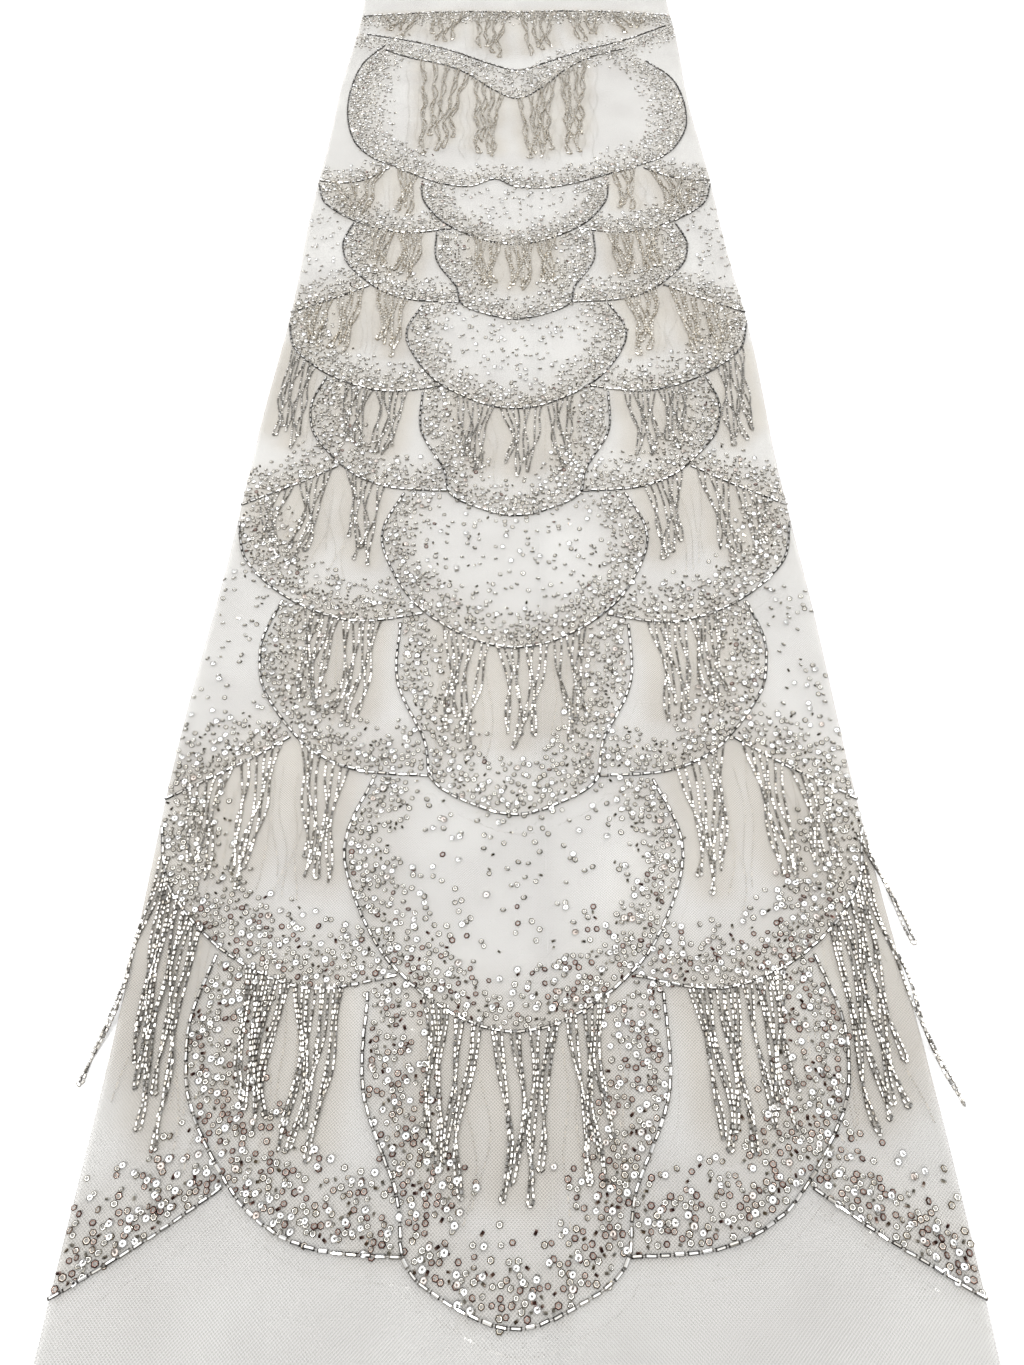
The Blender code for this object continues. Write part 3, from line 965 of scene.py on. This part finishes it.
def inside(x, y, outline):
    """Whether each point lies inside a closed outline."""
    within = np.zeros(len(x), bool)
    for (ax, ay), (bx, by) in zip(outline, np.roll(outline, -1, axis=0)):
        crosses = (ay > y) != (by > y)
        with np.errstate(divide="ignore", invalid="ignore"):
            at = ax + (y - ay) * (bx - ax) / (by - ay)
        within ^= crosses & (x < at)
    return within


def fringe_shade(places):
    """How far under a fringe each point lies, from 0 to 1, for the painted shadow of the fringes on the
    net.
    """
    strings = np.array([point for line in LINES for loop, between in line.strands
                        for point in loop[:STRAND_CELLS:3]])
    nearest = np.full(len(places), np.inf)
    for point in strings:
        away = np.hypot(places[:, 0] - point[0], places[:, 1] - point[1])
        nearest = np.minimum(nearest, away)
    return np.clip(SHADE_REACH - nearest / FRINGE_SHADE, 0.0, 1.0)


def edge_field(x, y):
    """The sparse fields beside the lower wings of every second repeat."""
    value = np.zeros(len(x))
    for repeat in EDGE_FIELD_REPEATS:
        foot = FIRST_FOOT + PITCH * repeat
        beside = np.abs(x) > EDGE_FIELD_FROM
        value[beside & (y > foot - EDGE_FIELD_BELOW) & (y < foot + EDGE_FIELD_ABOVE)] = EDGE_FIELD_DENSITY
    return value


def field(name, low_y, high_y, height, shift=(0.0, 0.0), along=None):
    """A strip of the cloth's surface with its bead density at each point."""
    rows = max(2, round((high_y - low_y) / FIELD_CELL))
    columns = round(2 * HALF_WIDTH / FIELD_CELL)
    u, v = np.meshgrid(np.linspace(-FIELD_HALF_WIDTH, FIELD_HALF_WIDTH, columns + 1),
                       np.linspace(low_y, high_y, rows + 1))
    u, v = u.ravel(), v.ravel()
    value = np.maximum(density_at(u + shift[0], v + shift[1]), edge_field(u, v))
    if not any(shift):
        value = np.maximum(value, shield_field(u, v))
    if along:
        value = value * np.interp(v, *along)
    side = np.where(u > 0, 1, -1)
    x = u * fold_at(side, v) / HALF_WIDTH
    points = np.stack([x, v, height(x, v)], axis=1).tolist()
    strip = mesh_object(name, points, grid_faces(rows, columns))
    strip.data.attributes.new("density", "FLOAT", "POINT").data.foreach_set("value", value)
    return strip


def lower_height(x, y):
    """Height of the lower layer's beads."""
    return np.full(len(x), LOWER_MIDDLE)


def over_net(line, step, lift):
    """A line's path at a height over the net."""
    path = (on_cloth(x, y) for x, y in smooth(line.anchors, step))
    return [(x, y, top_height(x, y) + lift) for x, y in path]


# Pieces
def threaded(name, paths, radius, length, pitch, sides, finish):
    """Tube beads threaded along paths."""
    return made_by(strings, curve_object(f"{name}_paths", paths), name, Pitch=pitch,
                   Bead_radius=radius, Bead_length=length, Sides=sides, Material=finish)


def sewn_lines(zone):
    """The tube beads of one zone's lines, and the strands that hang from them."""
    lines = [line for line in LINES if line.zone == zone]
    paths = [over_net(line, TUBE_STEP, TUBE_RADIUS + TUBE_SEAT) for line in lines]
    tubes = threaded(f"line_beads_{zone}", paths, TUBE_RADIUS, TUBE_LENGTH, TUBE_PITCH,
                     TUBE_SIDES, tube_finish)
    keep(tubes, "tube_beads", *[line.node for line in lines])
    hanging = [line for line in lines if line.strands]
    loops = [string for line in hanging for strand in line.strands
             for string in (strand[:1] if zone in NO_MIDDLE_STRING else strand)]
    stretch = STRING_STRETCH[zone]
    hung = threaded(f"strand_beads_{zone}", loops, STRING_RADII[zone], STRING_LENGTH * stretch,
                    STRING_PITCH * stretch, STRING_SIDES[zone], STRING_FINISHES[zone])
    keep(hung, "strand_beads", *[line.node for line in hanging])
    return [tubes, hung]


def sewn_strip(number):
    """The ring beads and the sequins of one strip across the cloth."""
    ends = STRIP_ENDS[number:number + 2]
    sewn = made_by(beads, field(f"field_{number}", *ends, top_height), f"sewn_beads_{number}",
                   Spacing=BEAD_SPACING, Beads_a_square_metre=BEADS_PER_M2, Lift=BEAD_LIFT,
                   Seed=number + SEWN_SEED, Sides=RING_SIDES[number], Size=1.0,
                   Tube_share=SHORT_SHARE, Tube_sides=SHORT_SIDES, Material=ring_finish)
    keep(sewn, "ring_beads")
    strip = field(f"sequin_field_{number}", *ends, top_height, along=SEQUINS_ALONG)
    flat = made_by(sequins, strip, f"sequins_{number}", Spacing=SEQUIN_SPACING,
                   Beads_a_square_metre=SEQUINS_PER_M2, Lift=SEQUIN_LIFT, Seed=number + SEQUIN_SEED,
                   Sides=SEQUIN_SIDES[number], Size=1.0, Material=sequin_finish)
    keep(flat, "sequins")
    return [sewn, flat]


def lower_layer():
    """The sewn beads, the strands and the tube beads of the lower layer."""
    strip = field("field_below", STRIP_ENDS[0], STRIP_ENDS[-1], lower_height, LOWER_SHIFT,
                  LOWER_BEADS_ALONG)
    sewn = made_by(beads, strip, "sewn_beads_below", Spacing=LOWER_SPACING,
                   Beads_a_square_metre=LOWER_PER_M2, Lift=0.0, Seed=LOWER_SEED,
                   Sides=LOWER_RING_SIDES, Size=LOWER_SCALE, Tube_share=LOWER_SHORT_SHARE,
                   Tube_sides=LOWER_SIDES, Material=lower_finish)
    keep(sewn, "ring_beads")
    loops = [strand_below(loop) for line in LINES for loop, between in line.strands]
    hung = threaded("strand_beads_below", loops, LOWER_STRING_RADIUS, LOWER_STRETCH * STRING_LENGTH,
                    LOWER_STRETCH * STRING_PITCH, LOWER_SIDES, shaded_lower_string_finish)
    keep(hung, "strand_beads")
    paths = [below(over_net(line, LOWER_STEP, 0.0)) for line in LINES]
    tubes = threaded("line_beads_below", paths, LOWER_TUBE_RADIUS, TUBE_LENGTH, TUBE_PITCH,
                     LOWER_SIDES, lower_finish)
    keep(tubes, "tube_beads")
    return [sewn, hung, tubes]


def line_threads():
    """The sewing threads along every line."""
    paths = [over_net(line, THREAD_STEP, TUBE_RADIUS) for line in LINES]
    thread = made_by(thread_tree(), curve_object("thread_paths", paths), "line_threads",
                     Thread_radius=THREAD_RADIUS, Material=thread_finish())
    keep(thread, "thread")
    return [thread]


# Camera, floor and light
def camera():
    """The camera at the photo's angle."""
    data = bpy.data.cameras.new("camera")
    data.sensor_width = SENSOR
    data.lens = FOCAL_PIXELS / FRAME_HEIGHT * SENSOR
    data.shift_x = (FRAME_WIDTH / 2 - VANISHING_X) / FRAME_HEIGHT
    data.clip_end = 50
    made = link(bpy.data.objects.new("camera", data))
    made.location = (0, CAMERA_FOOT, CAMERA_HEIGHT + UPPER_BASE)
    made.rotation_euler = (math.radians(90 - CAMERA_TILT), 0, 0)
    bpy.context.scene.camera = made


def light(name, kind, power):
    data = bpy.data.lights.new(name, kind)
    data.energy = power
    return link(bpy.data.objects.new(name, data))


def sun(name, strength, angle, elevation, azimuth):
    """A soft distant light, its angles in degrees."""
    made = light(name, "SUN", strength)
    made.data.angle = math.radians(angle)
    made.rotation_euler = (math.radians(90 - elevation), 0, math.radians(azimuth))


def softbox(name, power, size, place):
    """A square soft light that faces straight down."""
    made = light(name, "AREA", power)
    made.data.size = size
    made.location = place


def studio():
    """A pale floor, soft lights and a pale backdrop."""
    corners = [(across * FLOOR_HALF, along * FLOOR_HALF, 0)
               for across, along in ((-1, -1), (1, -1), (1, 1), (-1, 1))]
    floor = mesh_object("floor", corners, [(0, 1, 2, 3)])
    made, tree, shader = shader_of("white_floor")
    shader.inputs["Base Color"].default_value = (0.93, 0.93, 0.93, 1.0)
    shader.inputs["Roughness"].default_value = 0.9
    floor.data.materials.append(made)
    sun("key", strength=1.3, angle=22, elevation=60, azimuth=-35)
    sun("fill", strength=0.4, angle=30, elevation=50, azimuth=120)
    softbox("far_softbox", power=22.0, size=2.5, place=(0.0, 0.6, 2.2))
    world = bpy.data.worlds.new("studio")
    bpy.context.scene.world = world
    world.use_nodes = True
    tree = world.node_tree
    way = tree.nodes.new("ShaderNodeTexCoord").outputs["Generated"]
    sky = ramp(tree, parts(tree, way)["Z"], grey([(0.0, 0.05), (0.45, 0.18), (0.72, 1.0)]))
    glow = tree.nodes["Background"]
    glow.inputs["Strength"].default_value = 1.3
    tree.links.new(sky, glow.inputs["Color"])
    wall = tree.nodes.new("ShaderNodeBackground")
    wall.inputs["Color"].default_value = (0.95, 0.95, 0.95, 1.0)
    seen = tree.nodes.new("ShaderNodeLightPath")
    both = tree.nodes.new("ShaderNodeMixShader")
    tree.links.new(seen.outputs["Is Camera Ray"], both.inputs[0])
    tree.links.new(glow.outputs[0], both.inputs[1])
    tree.links.new(wall.outputs[0], both.inputs[2])
    tree.links.new(both.outputs[0], tree.nodes["World Output"].inputs["Surface"])
    bpy.context.scene.view_settings.view_transform = "Standard"


camera()
LINES = chart()
net = net_sheet()

# Finishes: colours by tone, and how much of the core shows along a bead; the darker rims, ends and flanks
# are painted shade
# Painted sparkle: how much darker a facet may be made at random
PAINTED_SPARKLE = [(0.0, (0.62, 0.60, 0.56)), (0.35, (1.0, 1.0, 1.0))]
SILVER = [(0.0, (1.0, 1.0, 1.0)), (0.8, (0.95, 0.95, 0.94)), (1.0, (0.60, 0.52, 0.47))]
tube_finish = bead_finish(
    "silver_tube_beads",
    core=[(0.0, (1.0, 1.0, 0.99)), (0.8, (0.93, 0.92, 0.90)), (1.0, (0.55, 0.52, 0.47))],
    painted_shade=[(0.0, (0.30, 0.28, 0.25)), (0.6, (0.08, 0.075, 0.07)), (1.0, (0.04, 0.035, 0.03))],
    clear=bright_middle(0.10, 0.18),
    painted_flank_shade=[(0.60, 0.0), (0.86, 1.0)], roughness=(0.10, 0.22), metallic=0.95)
string_finish = bead_finish(
    "champagne_strand_beads",
    core=[(0.0, (1.0, 0.99, 0.97)), (0.7, (0.93, 0.91, 0.87)), (1.0, (0.66, 0.62, 0.55))],
    painted_shade=[(0.0, (0.62, 0.60, 0.555)), (0.6, (0.42, 0.40, 0.365)), (1.0, (0.22, 0.205, 0.185))],
    clear=bright_middle(0.08, 0.20),
    painted_flank_shade=[(0.45, 0.0), (0.80, 1.0)], roughness=(0.12, 0.28), metallic=0.85)
near_string_finish = bead_finish(
    "champagne_strand_beads_near",
    core=[(0.0, (1.0, 0.99, 0.97)), (0.7, (0.93, 0.91, 0.87)), (1.0, (0.60, 0.56, 0.50))],
    painted_shade=[(0.0, (0.50, 0.475, 0.43)), (0.5, (0.27, 0.25, 0.22)), (1.0, (0.10, 0.09, 0.08))],
    clear=bright_middle(0.10, 0.22),
    painted_flank_shade=[(0.50, 0.0), (0.84, 1.0)], roughness=(0.12, 0.28), metallic=0.85)
# A paler, less metallic copy of the strand finish: painted light that makes up for the dark reflections
# of the far strands
far_painted_light_string_finish = bead_finish(
    "champagne_strand_beads_far",
    core=[(0.0, (1.0, 0.985, 0.94)), (0.6, (0.96, 0.93, 0.86)), (1.0, (0.66, 0.60, 0.51))],
    painted_shade=[(0.0, (0.76, 0.71, 0.62)), (0.6, (0.60, 0.545, 0.46)), (1.0, (0.38, 0.335, 0.27))],
    clear=bright_middle(0.08, 0.20),
    painted_flank_shade=[(0.45, 0.0), (0.80, 1.0)], roughness=(0.15, 0.32), metallic=0.6)
ring_finish = bead_finish(
    "silver_and_bronze_ring_beads",
    core=[(0.0, (1.0, 1.0, 0.97)), (0.35, (0.93, 0.91, 0.86)), (1.0, (0.66, 0.62, 0.54))],
    painted_shade=[(0.0, (0.50, 0.47, 0.40)), (0.4, (0.24, 0.215, 0.175)), (1.0, (0.07, 0.058, 0.045))],
    bronze=([(0.4, (0.17, 0.13, 0.08)), (0.65, (0.11, 0.05, 0.035)), (1.0, (0.045, 0.014, 0.011))],
            [(0.4, (0.82, 0.78, 0.70)), (0.7, (0.55, 0.43, 0.37)), (1.0, (0.30, 0.19, 0.16))]),
    clear=[(0.0, 0.0), (0.60, 0.0), (0.78, 1.0), (1.0, 1.0)],
    roughness=(0.12, 0.28), metallic=0.85)
sequin_finish = bead_finish(
    "bright_sequins", core=SILVER, painted_shade=SILVER, clear=[(0.0, 1.0), (1.0, 1.0)],
    roughness=(0.16, 0.34), metallic=0.80)
lower_finish = bead_finish(
    "beads_below_the_net",
    core=[(0.0, (1.0, 1.0, 0.99)), (1.0, (0.86, 0.84, 0.80))],
    painted_shade=[(0.0, (0.80, 0.78, 0.73)), (1.0, (0.52, 0.49, 0.43))],
    clear=[(0.0, 0.0), (0.15, 1.0), (0.85, 1.0), (1.0, 0.0)], roughness=(0.20, 0.36), metallic=0.7)
# A darker copy of the strand finish: painted shade for the strands that lie between the layers, under the
# net
shaded_lower_string_finish = bead_finish(
    "shaded_champagne_strand_beads_below",
    core=[(0.0, (0.62, 0.56, 0.46)), (1.0, (0.40, 0.35, 0.27))],
    painted_shade=[(0.0, (0.22, 0.19, 0.145)), (1.0, (0.09, 0.075, 0.055))],
    clear=bright_middle(0.15, 0.25),
    roughness=(0.20, 0.36), metallic=0.3)

# A finish for the strands of each zone, the far ones paler with painted light, and the pieces, from the
# near end to the far one
STRING_FINISHES = [near_string_finish, string_finish, string_finish, far_painted_light_string_finish, far_painted_light_string_finish]
strings, beads, sequins = string_tree(), bead_tree(), sequin_tree()
sewn_pieces = []
for zone in range(REPEATS + 1):
    sewn_pieces += sewn_lines(zone)
for number in range(len(STRIP_ENDS) - 1):
    sewn_pieces += sewn_strip(number)
sewn_pieces += lower_layer() + line_threads()

keep(net, "net", "net_ground")

studio()
